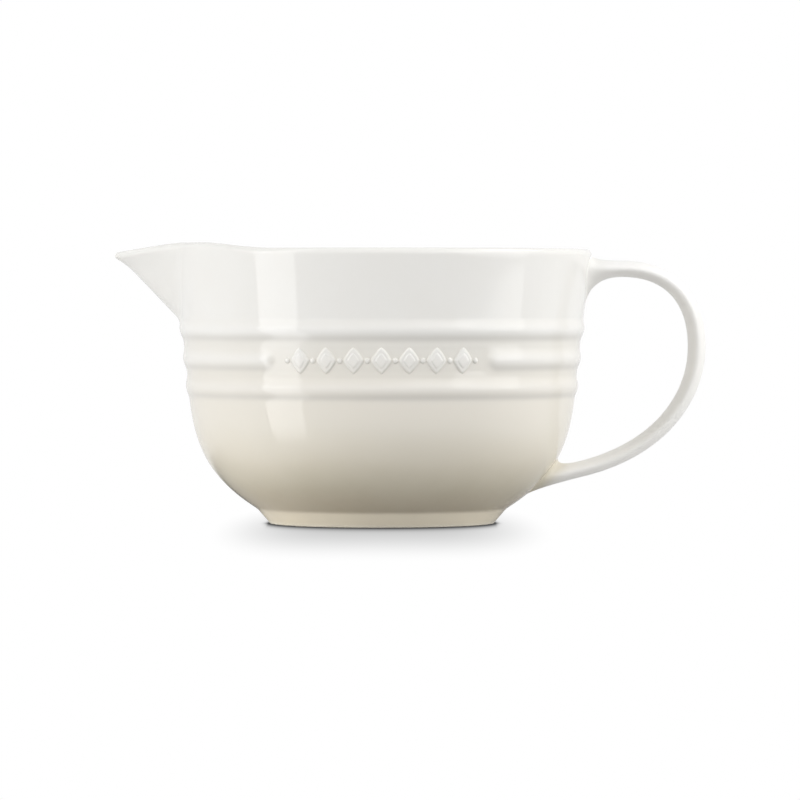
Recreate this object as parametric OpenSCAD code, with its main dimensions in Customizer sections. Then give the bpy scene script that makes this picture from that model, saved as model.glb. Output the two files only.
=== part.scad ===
// Batter bowl in glazed stoneware: a deep bowl on a turned foot, with a V-shaped pouring spout and a
// loop handle opposite it. All lengths are in millimetres.
// The origin is the middle of the foot's bearing face, +Z is up, the spout points to -X and the handle
// to +X, and the ornament in the gap of the middle ring faces -Y.

/* [Bowl] */
// Height of the rim above the table
bowl_h = 126; // [118:0.5:134]
// Outer diameter of the side wall at the rim
rim_d = 192.8; // [186:0.2:200]
// Outer diameter where the belly turns into the side wall
belly_d = 176.8; // [171:0.2:182]
// Height where the belly turns into the side wall
belly_h = 56; // [51:0.5:61]
// Thickness of the wall, which is also the width of the rounded rim
wall_t = 5; // [4:0.1:6]
// Thickness of the floor
floor_t = 6.5; // [5:0.1:8]
// Angle at which the belly leaves the foot, in degrees
belly_rise = 32; // [28:1:38]

/* [Foot] */
// Outer diameter of the foot where it meets the belly
foot_top_d = 114.6; // [108:0.2:120]
// Outer diameter of the foot at the table
foot_bottom_d = 104.8; // [100:0.2:107]
// Height of the foot
foot_h = 6.9; // [5.5:0.1:8.5]
// Inner diameter of the foot
foot_hole_d = 88; // [80:0.5:92]
// Depth of the hollow under the floor
foot_recess = 4; // [2.5:0.1:5]
// Radius of the foot's two edges at the table
foot_round = 1.2; // [0.6:0.1:2]

/* [Rings] */
// Distance from the rim down to the top ring's crest
top_ring_drop = 36.8; // [34:0.1:38]
// Distance from the top ring down to the middle one
upper_ring_gap = 13.4; // [12.5:0.1:14.5]
// Distance from the middle ring down to the bottom one
lower_ring_gap = 12.9; // [12.5:0.1:14]
// Width of a ring
ring_w = 11.5; // [9:0.1:12]
// How far a ring stands out of the wall
ring_relief = 1.1; // [0.6:0.05:1.6]
// How far the wall is sunk between the rings
band_recess = 0.25; // [0.1:0.05:0.5]

/* [Ornament] */
// Clear width between the two noses of the middle ring
panel_w = 93; // [84:1:100]
// Depth of the panel under the grooves
panel_depth = 0.15; // [0.1:0.05:0.3]
// Height of a lozenge
lozenge_h = 12.2; // [9:0.1:12.6]
// Width of a lozenge
lozenge_w = 9.2; // [7:0.1:10]
// Height of the lozenge that is raised in its middle
lozenge_core_h = 6.4; // [4:0.1:8]
// Diameter of a bead
bead_d = 2.6; // [2:0.1:3]
// Gap between two lozenges, with a bead in it
lozenge_gap = 3.2; // [2.8:0.1:3.6]
// Number of lozenges
lozenge_count = 7; // [5:2:7]
// How far the ornament stands out of the panel
sprig_relief = 0.7; // [0.4:0.05:1]
// How far the middle of a lozenge stands out of the lozenge
core_relief = 0.4; // [0.2:0.05:0.6]

/* [Spout] */
// How far the lip reaches past the side wall
spout_reach = 25.8; // [20:0.2:30]
// Width of the spout where it leaves the rim
spout_w = 54; // [48:0.5:60]
// Width of the spout at the foot of its keel
spout_base_w = 24; // [18:0.5:30]
// Distance from the top ring's crest up to the foot of the keel
keel_gap = 3.8; // [1:0.2:8]
// Height over which the foot of the keel is blended into the wall
spout_blend_h = 3; // [2:0.1:4]
// Half-width of the rounding along the keel
keel_round = 9; // [6:0.5:12]
// Thickness of the lip at the tip
spout_lip_t = 3.4; // [3:0.1:4.5]
// How far the lip flares out against dripping
spout_drip = 2.1; // [1:0.1:3]
// Rise of the rim beside the spout
shoulder_rise = 2.8; // [1:0.1:4]
// Drop from the raised rim to the tip
tip_drop = 4.4; // [2:0.1:6]

/* [Handle] */
// Distance from the rim down to the top of the handle
handle_drop = 5.2; // [4.8:0.1:8]
// How far the handle stands out from the rim
handle_span = 52.4; // [46:0.2:60]
// Height of the handle's widest point
handle_mid_h = 81.5; // [76:0.5:88]
// Height of the strap's centre at the lower joint
handle_low_h = 25.2; // [23:0.2:28]
// Slope of the strap at the lower joint, in degrees
handle_low_rise = 14; // [10:1:18]
// Thickness of the strap at the upper joint
strap_top_t = 7.5; // [6.5:0.1:8]
// Thickness of the strap at the widest point
strap_side_t = 8.1; // [7:0.1:9]
// Thickness of the strap at the lower joint
strap_low_t = 7.2; // [6.5:0.1:8]
// Width of the strap at the upper joint
strap_top_w = 26; // [22:0.5:30]
// Width of the strap at the lower joint
strap_low_w = 23; // [20:0.5:26]

/* [Handle joints] */
// Length of the upper joint, from the wall to the strap
upper_stub = 15; // [12:0.5:18]
// Length of the lower joint, from the wall to the strap
lower_stub = 14.4; // [12:0.2:18]
// Spread of the upper joint above the strap
upper_flare_out = 1.8; // [1:0.1:2.2]
// Spread of the upper joint below the strap
upper_flare_in = 15; // [10:0.5:18]
// Spread of the lower joint below the strap
lower_flare_out = 3; // [2:0.1:4]
// Spread of the lower joint above the strap
lower_flare_in = 4.5; // [3:0.1:6]
// Spread of both joints to each side
side_flare = 5; // [3:0.1:7]
// Gap between a joint and the wall that it is luted to
lute_gap = 0.1; // [0.05:0.01:0.2]

/* [Hidden] */

glaze = [0.95, 0.94, 0.91];
warm_glaze = [0.88, 0.86, 0.79];
bare_clay = [0.80, 0.76, 0.68];

// Fineness of round shapes
round_fn = 120;
belly_steps = 16;
side_steps = 6;
ring_steps = 10;
lip_steps = 8;
floor_steps = 5;

// Shape of the wall: how steeply it leans, and how far each curve is pulled along its end tangents
belly_lean_share = 0.12;
rim_lean_share = 0.15;
foot_pull_share = 0.44;
side_pull_share = 0.52;
inner_start_share = 0.25;

// Shape of the spout: how far round the bowl it reaches, and how its edges fade
spout_span = 60;
shoulder_flat = 30;
spout_spread_share = 0.5;
drip_start_share = 0.8;
root_blend_share = 0.4;
row_crowd = 1.3;
spout_columns = 27;
spout_rows = 15;
foot_rows = 3;

// Shape of the handle
upper_out_pull_share = 0.68;
upper_down_pull_share = 0.58;
lower_down_pull_share = 0.443;
lower_in_pull_share = 0.67;
strap_sides = 28;
upper_stations = 18;
lower_stations = 30;
flare_rows = 8;
cap_rings = 4;
cap_step_share = 0.22;
solve_steps = 24;

rim_r = rim_d / 2;
belly_r = belly_d / 2;
foot_top_r = foot_top_d / 2;
foot_bottom_r = foot_bottom_d / 2;
foot_hole_r = foot_hole_d / 2;
rim_round = wall_t / 2;
// A length past everything, and one too small to see
reach = rim_d;
tiny = wall_t / 50;

// General helpers
function mix(a, b, t) = a + (b - a) * t;
function clamp01(t) = min(1, max(0, t));
function unit(v) = v / norm(v);
function total(list) = list * [for (v = list) 1];
function curve(p, t) = let (u = 1 - t)
    u * u * u * p[0] + 3 * u * u * t * p[1] + 3 * u * t * t * p[2] + t * t * t * p[3];
function curve_dir(p, t) = let (u = 1 - t)
    unit(u * u * (p[1] - p[0]) + 2 * u * t * (p[2] - p[1]) + t * t * (p[3] - p[2]));
function right_of(d) = [d[1], -d[0]];
function reversed(list) = [for (i = [len(list) - 1:-1:0]) list[i]];

// The larger of a value and zero, with a round transition of the given half-width
function soft_positive(v, blend) = max(v, 0)
    + (blend > 0 && abs(v) < blend ? (blend - abs(v)) * (blend - abs(v)) / (4 * blend) : 0);

// Closed surface through a row of loops with equal point counts. A flat loop closes each end,
// or a fan to a tip point closes the last one. The faces are turned where the loops run clockwise,
// seen along the row.
module skin(loops, tip = undef, clockwise = false) {
    n = len(loops[0]);
    last = (len(loops) - 1) * n;
    has_tip = !is_undef(tip);
    points = [for (loop = loops) each loop, if (has_tip) tip];
    sides = [for (start = [0:n:last - n], i = [0:n - 1])
        let (a = start + i, b = start + (i + 1) % n)
        each [[a, b, b + n], [a, b + n, a + n]]];
    first_cap = [[for (i = [n - 1:-1:0]) i]];
    last_cap = has_tip
        ? [for (i = [0:n - 1]) [last + i, last + (i + 1) % n, last + n]]
        : [[for (i = [0:n - 1]) last + i]];
    faces = concat(sides, first_cap, last_cap);
    polyhedron(points, clockwise ? [for (f = faces) reversed(f)] : faces, convexity = 8);
}

// Outline of the wall, without its rings. Points are [radius, height].
edge_lean = atan(rim_lean_share);
edge_h = bowl_h - rim_round * (1 + sin(edge_lean));
belly_span = belly_h - foot_h;
side_span = edge_h - belly_h;
belly_curve = [
    [foot_top_r, foot_h],
    [foot_top_r, foot_h] + belly_span * foot_pull_share * [cos(belly_rise), sin(belly_rise)],
    [belly_r, belly_h] - belly_span * side_pull_share * [belly_lean_share, 1],
    [belly_r, belly_h]
];
side_curve = [
    [belly_r, belly_h],
    [belly_r + side_span * belly_lean_share / 3, mix(belly_h, edge_h, 1 / 3)],
    [rim_r - side_span * rim_lean_share / 3, mix(belly_h, edge_h, 2 / 3)],
    [rim_r, edge_h]
];
belly_points = [for (i = [0:belly_steps]) curve(belly_curve, i / belly_steps)];
belly_radii = [for (p = belly_points) [p[1], p[0]]];
function side_r(z) = curve(side_curve, (z - belly_h) / side_span)[0];
function wall_r(z) = z < belly_h ? lookup(z, belly_radii) : side_r(z);

// The three rings, as raised waves on a slightly sunk band
ring_r = ring_w / 2;
top_ring_h = bowl_h - top_ring_drop;
mid_ring_h = top_ring_h - upper_ring_gap;
low_ring_h = mid_ring_h - lower_ring_gap;
ring_heights = [low_ring_h, mid_ring_h, top_ring_h];
band_low = low_ring_h - ring_r;
band_high = top_ring_h + ring_r;
function wave(s) = abs(s) < 1 ? (1 + cos(180 * s)) / 2 : 0;
function relief(z) = ring_relief * total([for (h = ring_heights) wave((z - h) / ring_r)])
    - band_recess * clamp01((z - band_low) / ring_w) * clamp01((band_high - z) / ring_w);
function outer_r(z) = wall_r(z) + relief(z);

// Heights at which the side wall is drawn
ring_levels = [for (h = ring_heights, i = [0:ring_steps]) h + ring_r * (2 * i / ring_steps - 1)];
plain_levels = [for (i = [1:side_steps]) mix(band_high, edge_h, i / side_steps)];
outer_belly = [for (p = belly_points) if (p[1] < band_low) p];
outer_side = [for (z = concat(ring_levels, plain_levels)) [outer_r(z), z]];

// Rounded rim: a half circle around the middle of the wall
edge_dir = curve_dir(side_curve, 1);
edge_out = right_of(edge_dir);
rim_arc = [for (i = [1:lip_steps - 1]) let (a = 180 * i / lip_steps)
    [rim_r, edge_h] + rim_round * ((cos(a) - 1) * edge_out + sin(a) * edge_dir)];

// Inside of the wall, the wall's thickness in from the outline, and the floor that curves into it
floor_h = foot_recess + floor_t;
inner_side = [for (i = [side_steps:-1:0]) let (t = i / side_steps)
    curve(side_curve, t) - wall_t * right_of(curve_dir(side_curve, t))];
inner_first = ceil(belly_steps * inner_start_share);
inner_belly = [for (i = [belly_steps - 1:-1:inner_first]) let (t = i / belly_steps)
    curve(belly_curve, t) - wall_t * right_of(curve_dir(belly_curve, t))];
turn_end = inner_belly[len(inner_belly) - 1];
turn_dir = curve_dir(belly_curve, inner_first / belly_steps);
turn_corner = turn_end - turn_dir * (turn_end[1] - floor_h) / turn_dir[1];
turn_start = [turn_corner[0] - norm(turn_end - turn_corner), floor_h];
floor_turn = [for (i = [1:floor_steps]) let (t = i / floor_steps, u = 1 - t)
    u * u * turn_end + 2 * u * t * turn_corner + t * t * turn_start];

bowl_outline = concat(
    [[0, foot_recess], [foot_hole_r, foot_recess], [foot_hole_r, foot_h]],
    outer_belly, outer_side, rim_arc, inner_side, inner_belly, floor_turn, [[0, floor_h]]
);

// The thrown bowl, open where the spout is let in
module bowl_body() {
    color(glaze)
    difference() {
        rotate_extrude($fn = round_fn) polygon(bowl_outline);
        spout_opening();
        panel_cut();
    }
}

spout_base_h = top_ring_h + keel_gap;
spout_cut_h = spout_base_h - spout_blend_h;
module spout_opening() {
    side = reach * [-cos(spout_span), sin(spout_span)];
    translate([0, 0, spout_cut_h])
        linear_extrude(height = reach)
            polygon([[0, 0], side, [-reach, side[1]], [-reach, -side[1]], [side[0], -side[1]]]);
}

// Panel between the two noses of the middle ring, as high as the clear height between its neighbours
panel_low = (low_ring_h + ring_r + mid_ring_h - ring_r) / 2;
panel_high = 2 * mid_ring_h - panel_low;
function panel_r(z) = wall_r(z) - band_recess - panel_depth;

// Shell around the panel between two distances from its face
module panel_shell(inner, outer) {
    rotate_extrude($fn = round_fn)
        polygon([
            [panel_r(panel_low) + inner, panel_low],
            [panel_r(panel_low) + outer, panel_low],
            [panel_r(panel_high) + outer, panel_high],
            [panel_r(panel_high) + inner, panel_high]
        ]);
}

module panel_cut() {
    nose_x = panel_w / 2 + ring_r;
    intersection() {
        panel_shell(0, reach);
        translate([0, 0, mid_ring_h])
            rotate([90, 0, 0])
                linear_extrude(height = reach)
                    difference() {
                        square([2 * nose_x, ring_w * 2], center = true);
                        translate([nose_x, 0]) circle(ring_r, $fn = round_fn);
                        translate([-nose_x, 0]) circle(ring_r, $fn = round_fn);
                    }
    }
}

// The applied ornament: a row of stepped lozenges with a bead between each pair
panel_mid_r = panel_r(mid_ring_h);
pitch_angle = (lozenge_w + lozenge_gap) / panel_mid_r * 180 / PI;
module lozenge(h, w) {
    polygon([[-w / 2, 0], [0, -h / 2], [w / 2, 0], [0, h / 2]]);
}

module around_panel(places) {
    for (i = places)
        rotate([0, 0, i * pitch_angle])
            translate([0, wall_t - panel_mid_r, mid_ring_h])
                rotate([90, 0, 0])
                    linear_extrude(height = 2 * wall_t) children();
}

lozenge_places = [for (i = [0:lozenge_count - 1]) i - (lozenge_count - 1) / 2];
bead_places = [for (i = [0:lozenge_count]) i - lozenge_count / 2];
lozenge_core_w = lozenge_w * lozenge_core_h / lozenge_h;

module band_sprigs() {
    color(glaze) {
        intersection() {
            panel_shell(0, sprig_relief);
            union() {
                around_panel(lozenge_places) lozenge(lozenge_h, lozenge_w);
                around_panel(bead_places) circle(d = bead_d, $fn = round_fn);
            }
        }
        intersection() {
            panel_shell(sprig_relief / 2, sprig_relief + core_relief);
            around_panel(lozenge_places) lozenge(lozenge_core_h, lozenge_core_w);
        }
    }
}

// The turned foot: it leans in towards the table and rests on a narrow unglazed ring
foot_outer_arc = [for (i = [0:lip_steps]) let (a = 90 * i / lip_steps)
    [foot_bottom_r - foot_round * (1 - cos(a)), foot_round * (1 - sin(a))]];
foot_inner_arc = [for (i = [lip_steps:-1:0]) let (a = 90 * i / lip_steps)
    [foot_hole_r + foot_round * (1 - cos(a)), foot_round * (1 - sin(a))]];
foot_outline = concat([[foot_top_r, foot_h]], foot_outer_arc, foot_inner_arc, [[foot_hole_r, foot_h]]);

module foot_ring() {
    color(bare_clay)
        rotate_extrude($fn = round_fn) polygon(foot_outline);
}

// The spout's outer face is the side wall, pushed out along -X into a V with a round keel. Angles
// are measured around the bowl from -X.
shoulder_top = edge_h + shoulder_rise;
function shoulder(angle) = let (t = clamp01((abs(angle) - shoulder_flat) / (spout_span - shoulder_flat)))
    (1 + cos(180 * t)) / 2;
keel_blend_share = spout_blend_h / (shoulder_top - spout_base_h);
function keel_reach(u) = (spout_reach - spout_drip) * soft_positive(u, keel_blend_share)
    + spout_drip * pow(max(0, (u - drip_start_share) / (1 - drip_start_share)), 2);

// Distance across the keel, rounded over the middle
function across(y) = sqrt(y * y + keel_round * keel_round) - keel_round;

// How far the face is pushed out at a place across the bowl, for a share u of the spout's height
function push(y, u) = let (
    out = keel_reach(u),
    half_w = mix(spout_base_w, spout_w, clamp01(u)) / 2
) soft_positive(out * (1 - across(y) / across(half_w)), root_blend_share * out);

// Height of the spout's upper edge, which falls from the raised rim to the tip
function lip_share(angle) = push(rim_r * sin(angle), 1) / spout_reach;
function lip_h(angle) = edge_h + shoulder_rise * shoulder(angle) - tip_drop * lip_share(angle);

// A point of the plain outer face, and the outward direction there
function height_share(angle, z) = (z - spout_base_h) / (lip_h(angle) - spout_base_h);
function face_push(angle, z) = push(wall_r(z) * sin(angle), height_share(angle, z));
function face(angle, z) = let (r = wall_r(z))
    [-r * cos(angle) - face_push(angle, z), r * sin(angle), z];
turn = 0.2;
function face_out(angle, z) = unit(cross(
    face(angle, z + tiny) - face(angle, z - tiny),
    face(angle + turn, z) - face(angle - turn, z)));
function face_t(angle, z) = mix(wall_t, spout_lip_t, clamp01(face_push(angle, z) / spout_reach));

// The same point with the top ring's relief, and the point through the wall behind it, which the
// spout's level underside needs at the height of the point itself
function level_part(v) = [v[0], v[1], 0];
function outer_face(angle, z) = face(angle, z) + relief(z) * unit(level_part(face_out(angle, z)));
function inner_face(angle, z) = face(angle, z) - face_t(angle, z) * face_out(angle, z);
function level_inner_face(angle, z) = let (out = level_part(face_out(angle, z)))
    face(angle, z) - face_t(angle, z) * out / (out * out);

// Half circle over the spout's edge
function edge_run(angle) = face(angle + turn, lip_h(angle + turn)) - face(angle - turn, lip_h(angle - turn));
function lip_arc(angle) = let (
    z = lip_h(angle),
    n = face_out(angle, z),
    up = unit(cross(edge_run(angle), n)),
    r = face_t(angle, z) / 2
) [for (i = [1:lip_steps - 1]) let (a = 180 * i / lip_steps)
    face(angle, z) + r * ((cos(a) - 1) * n + sin(a) * up)];

function spout_levels(angle) = concat(
    [for (i = [0:foot_rows - 1]) mix(spout_cut_h, spout_base_h, i / foot_rows)],
    [for (i = [0:spout_rows]) mix(spout_base_h, lip_h(angle), pow(i / spout_rows, row_crowd))]
);
function spout_column(angle) = let (levels = spout_levels(angle), top = len(levels) - 1) concat(
    [for (z = levels) outer_face(angle, z)],
    lip_arc(angle),
    [for (i = [top:-1:1]) inner_face(angle, levels[i])],
    [level_inner_face(angle, levels[0])]
);

module pouring_spout() {
    color(glaze)
        skin([for (i = [-spout_columns:spout_columns]) let (s = i / spout_columns)
            spout_column(spout_span * s * mix(1, s * s, spout_spread_share))], clockwise = true);
}

// Middle line of the strap, in the plane of the spout and the handle. Points are [x, height].
strap_top_h = bowl_h - handle_drop - strap_top_t / 2;
strap_out_x = rim_r + handle_span - strap_side_t / 2;
upper_end = [wall_r(strap_top_h) + upper_stub, strap_top_h];
lower_end = [wall_r(handle_low_h) + lower_stub, handle_low_h];
widest = [strap_out_x, handle_mid_h];
lower_dir = [-cos(handle_low_rise), -sin(handle_low_rise)];
upper_curve = [
    upper_end,
    upper_end + [(widest[0] - upper_end[0]) * upper_out_pull_share, 0],
    widest + [0, (upper_end[1] - widest[1]) * upper_down_pull_share],
    widest
];
lower_curve = [
    widest,
    widest - [0, (widest[1] - lower_end[1]) * lower_down_pull_share],
    lower_end - lower_dir * (widest[0] - lower_end[0]) * lower_in_pull_share,
    lower_end
];

// Oval loop of the strap around a point of its middle line; dir is the way the strap runs, with
// the outside of the loop on its left
function strap_loop(p, dir, t, w) = [for (i = [0:strap_sides - 1]) let (
    a = 360 * i / strap_sides,
    side = t / 2 * sin(a) * [-dir[1], dir[0]]
) [p[0] + side[0], w / 2 * cos(a), p[1] + side[1]]];
strap_side_w = (strap_top_w + strap_low_w) / 2;

strap_loops = concat(
    [for (i = [0:upper_stations]) let (t = i / upper_stations)
        strap_loop(curve(upper_curve, t), curve_dir(upper_curve, t),
            mix(strap_top_t, strap_side_t, t), mix(strap_top_w, strap_side_w, t))],
    [for (i = [1:lower_stations]) let (t = i / lower_stations)
        strap_loop(curve(lower_curve, t), curve_dir(lower_curve, t),
            mix(strap_side_t, strap_low_t, t), mix(strap_side_w, strap_low_w, t))]
);

module handle() {
    color(glaze) skin(strap_loops, clockwise = true);
}

// Where a straight line from p along d meets the wall, found by halving the distance
function off_wall(p) = norm([p[0], p[1]]) - outer_r(p[2]) - lute_gap;
function meet_wall(p, d, near, far, n = solve_steps) = let (mid = (near + far) / 2)
    n == 0 ? p + mid * d
    : off_wall(p + mid * d) > 0 ? meet_wall(p, d, mid, far, n - 1)
    : meet_wall(p, d, near, mid, n - 1);
function on_wall(angle, z) = let (r = outer_r(z) + lute_gap) [r * cos(angle), r * sin(angle), z];

// Foot of the flare on the wall, for a place round the strap's loop
function flare_foot(p, a, sign, flare_out, flare_in) = let (
    lean = (wall_r(p[2] + tiny) - wall_r(p[2] - tiny)) / (2 * tiny),
    rise = sign * mix(flare_in, flare_out, (1 + sin(a)) / 2) * sin(a) / sqrt(1 + lean * lean),
    sweep = side_flare * cos(a) / wall_r(p[2]) * 180 / PI
) on_wall(atan2(p[1], p[0]) + sweep, p[2] + rise);

// Loops of a luted joint: from the strap's end they run straight on, then spread along the wall
// and close over it. sign is +1 where the outside of the strap is its upper side, and -1 below.
function joint_feet(loop, dir, sign, flare_out, flare_in) = [for (i = [0:strap_sides - 1])
    flare_foot(meet_wall(loop[i], dir, 0, reach / 4), 360 * i / strap_sides, sign, flare_out, flare_in)];
function joint_loops(loop, dir, feet) = [for (j = [0:flare_rows]) let (t = j / flare_rows, u = 1 - t)
    [for (i = [0:strap_sides - 1])
        u * u * loop[i] + 2 * u * t * meet_wall(loop[i], dir, 0, reach / 4) + t * t * feet[i]]];
function wall_cap(feet, centre) = [for (j = [1:cap_rings]) [for (p = feet)
    let (t = 1 - j * cap_step_share)
    on_wall(mix(0, atan2(p[1], p[0]), t), mix(centre[2], p[2], t))]];

module luted_joint(loop, dir, sign, flare_out, flare_in) {
    feet = joint_feet(loop, dir, sign, flare_out, flare_in);
    heights = [for (p = feet) p[2]];
    centre = on_wall(0, (min(heights) + max(heights)) / 2);
    skin(concat(joint_loops(loop, dir, feet), wall_cap(feet, centre)), centre, clockwise = sign < 0);
}

module upper_handle_joint() {
    color(glaze)
        luted_joint(strap_loops[0], [-1, 0, 0], 1, upper_flare_out, upper_flare_in);
}

module lower_handle_joint() {
    last_loop = strap_loops[len(strap_loops) - 1];
    color(warm_glaze)
        luted_joint(last_loop, [lower_dir[0], 0, lower_dir[1]], -1, lower_flare_out, lower_flare_in);
}

bowl_body();
foot_ring();
pouring_spout();
handle();
upper_handle_joint();
lower_handle_joint();
band_sprigs();
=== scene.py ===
import math

import bmesh
import bpy
import numpy as np
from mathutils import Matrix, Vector


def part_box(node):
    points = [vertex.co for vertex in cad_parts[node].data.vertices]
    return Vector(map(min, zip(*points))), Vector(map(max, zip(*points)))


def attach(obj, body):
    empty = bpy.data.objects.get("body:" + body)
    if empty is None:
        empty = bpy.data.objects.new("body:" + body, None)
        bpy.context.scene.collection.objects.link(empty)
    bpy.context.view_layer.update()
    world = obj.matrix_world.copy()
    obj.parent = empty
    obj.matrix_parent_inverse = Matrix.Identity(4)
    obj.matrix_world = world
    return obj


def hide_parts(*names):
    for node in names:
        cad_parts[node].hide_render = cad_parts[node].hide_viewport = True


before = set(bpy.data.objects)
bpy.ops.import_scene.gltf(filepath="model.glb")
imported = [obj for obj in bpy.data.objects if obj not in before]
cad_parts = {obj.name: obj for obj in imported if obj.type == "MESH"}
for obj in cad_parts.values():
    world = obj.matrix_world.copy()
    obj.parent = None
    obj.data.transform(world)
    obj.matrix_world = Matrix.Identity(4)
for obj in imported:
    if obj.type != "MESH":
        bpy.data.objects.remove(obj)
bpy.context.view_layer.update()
mm = 0.001
bowlLow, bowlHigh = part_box("bowl_body")
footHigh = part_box("foot_ring")[1]
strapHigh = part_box("handle")[1]
print("frame loaded:", len(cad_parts), "nodes")


# small helpers

def deselectAll():
    if bpy.context.mode != "OBJECT":
        bpy.ops.object.mode_set(mode="OBJECT")
    bpy.ops.object.select_all(action="DESELECT")


def turnOutwards():
    # the last step in edit mode
    bpy.ops.mesh.select_all(action="SELECT")
    bpy.ops.mesh.normals_make_consistent(inside=False)
    bpy.ops.object.mode_set(mode="OBJECT")


def closeEnd():
    # an extruded loop leaves its start open
    bpy.ops.mesh.select_all(action="DESELECT")
    bpy.ops.mesh.select_non_manifold()
    bpy.ops.mesh.edge_face_add()
    turnOutwards()


def pick(piece):
    deselectAll()
    piece.select_set(True)
    bpy.context.view_layer.objects.active = piece


def blend(a, b, share):
    return a + (b - a) * share


def clamped(value):
    return np.clip(value, 0.0, 1.0)


def eased(value):
    share = clamped(value)
    return share * share * (3 - 2 * share)


def rising(value, start, end):
    # 0 up to the start and 1 from the end on; the end may also be the lower one
    return eased((value - start) / (end - start))


def unit(vectors):
    return vectors / np.linalg.norm(vectors, axis=-1, keepdims=True)


def curvePoints(corners, t):
    p = np.array(corners, float)
    t = np.asarray(t, float)[..., None]
    u = 1 - t
    return u ** 3 * p[0] + 3 * u * u * t * p[1] + 3 * u * t * t * p[2] + t ** 3 * p[3]


def curveDirections(corners, t):
    p = np.array(corners, float)
    t = np.asarray(t, float)[..., None]
    u = 1 - t
    return unit(u * u * (p[1] - p[0]) + 2 * u * t * (p[2] - p[1]) + t * t * (p[3] - p[2]))


def rightOf(directions):
    return np.stack([directions[..., 1], -directions[..., 0]], axis=-1)


# the wall of the bowl, in metres: radius over height

bowlForm = {
    "rimHeight": 126 * mm,
    "rimRadius": bowlHigh.x,
    "bellyRadius": 88.4 * mm,      # where the belly turns into the side
    "bellyHeight": 56 * mm,
    "wall": 5 * mm,
    "floorHeight": 10.5 * mm,
    "bellyRise": math.radians(32),
    "footPull": 0.44,
    "sidePull": 0.52,
    "bellyLean": 0.12,
    "rimLean": 0.15,
    "innerStart": 0.25,            # where along the belly the floor's turn ends inside
    "footRadius": footHigh.x,
    "footHeight": footHigh.z,
    "recessHeight": bowlLow.z,
    "recessRadius": 44 * mm,
    "samples": 600,                # points on the belly's curve, for reading its radius at a height
}

rimRound = bowlForm["wall"] / 2
edgeHeight = bowlForm["rimHeight"] - rimRound * (1 + math.sin(math.atan(bowlForm["rimLean"])))
bellySpan = bowlForm["bellyHeight"] - bowlForm["footHeight"]
sideSpan = edgeHeight - bowlForm["bellyHeight"]
footCorner = np.array([bowlForm["footRadius"], bowlForm["footHeight"]])
bellyCorner = np.array([bowlForm["bellyRadius"], bowlForm["bellyHeight"]])
riseDirection = np.array([math.cos(bowlForm["bellyRise"]), math.sin(bowlForm["bellyRise"])])
bellyCurve = [
    footCorner,
    footCorner + bellySpan * bowlForm["footPull"] * riseDirection,
    bellyCorner - bellySpan * bowlForm["sidePull"] * np.array([bowlForm["bellyLean"], 1]),
    bellyCorner,
]
rimCorner = np.array([bowlForm["rimRadius"], edgeHeight])
sideCurve = [
    bellyCorner,
    bellyCorner + sideSpan / 3 * np.array([bowlForm["bellyLean"], 1]),
    rimCorner - sideSpan / 3 * np.array([bowlForm["rimLean"], 1]),
    rimCorner,
]
bellySamples = curvePoints(bellyCurve, np.linspace(0, 1, bowlForm["samples"]))


def wallRadius(height):
    height = np.asarray(height, float)
    belly = np.interp(height, bellySamples[:, 1], bellySamples[:, 0])
    t = (height - bowlForm["bellyHeight"]) / sideSpan
    return np.where(height < bowlForm["bellyHeight"], belly, curvePoints(sideCurve, t)[..., 0])


# three rings, the middle one with a gap in front that holds the ornament

ringForm = {
    "drop": 36.8 * mm,             # from the rim down to the top ring
    "upperGap": 13.4 * mm,
    "lowerGap": 12.9 * mm,
    "width": 11.5 * mm,
    "relief": 1.1 * mm,
    "sunk": 0.25 * mm,
    "panelWidth": 93 * mm,
    "panelSunk": 0.15 * mm,
    "panelEdge": 1.6 * mm,         # how softly the panel runs out
    "creaseDrop": 3.6 * mm,        # from a ring's crest to the painted dark shade line under it
    "creaseWidth": 1.4 * mm,
    "crestPower": 3,               # how narrow the thin glaze and painted highlight on a crest is
}

ringHalf = ringForm["width"] / 2
topRing = bowlForm["rimHeight"] - ringForm["drop"]
middleRing = topRing - ringForm["upperGap"]
bottomRing = middleRing - ringForm["lowerGap"]
bandLow = bottomRing - ringHalf
bandHigh = topRing + ringHalf
noseX = ringForm["panelWidth"] / 2 + ringHalf
panelHalf = (ringForm["upperGap"] + ringForm["lowerGap"]) / 4


def wave(distance):
    return np.where(np.abs(distance) < 1, (1 + np.cos(math.pi * distance)) / 2, 0.0)


def ringWaves(height, x, y):
    past = np.where(y < 0, np.maximum(noseX - np.abs(x), 0), 0)
    middle = np.hypot(past, height - middleRing)
    return (wave((height - topRing) / ringHalf) + wave((height - bottomRing) / ringHalf)
            + wave(middle / ringHalf))


def ringCreaseShade(height, x, y):
    # painted shade: a dark line under each ring, where its lower side runs out into the wall
    past = np.where(y < 0, np.maximum(noseX - np.abs(x), 0), 0)
    total = 0.0
    for centre, aside in ((topRing, 0.0), (middleRing, past), (bottomRing, 0.0)):
        above = height - centre
        away = np.hypot(aside, above)
        below = clamped(-above / np.maximum(away, ringForm["creaseWidth"] / 2))
        offLine = (away - ringForm["creaseDrop"]) / ringForm["creaseWidth"]
        total = total + below * np.exp(-offLine ** 2)
    return total


def panelShare(height, x, y):
    soft = ringForm["panelEdge"]
    inside = eased((ringForm["panelWidth"] / 2 + soft - np.abs(x)) / (2 * soft))
    level = eased((panelHalf - np.abs(height - middleRing)) / soft)
    return np.where(y < 0, inside * level, 0.0)


def bandSunk(height):
    return ringForm["sunk"] * (clamped((height - bandLow) / ringForm["width"])
                               * clamped((bandHigh - height) / ringForm["width"]))


def relief(height, x, y):
    return (ringForm["relief"] * ringWaves(height, x, y) - bandSunk(height)
            - ringForm["panelSunk"] * panelShare(height, x, y))


# the pouring spout: the side pushed out into a V along -X; angles are taken from -X

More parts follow.
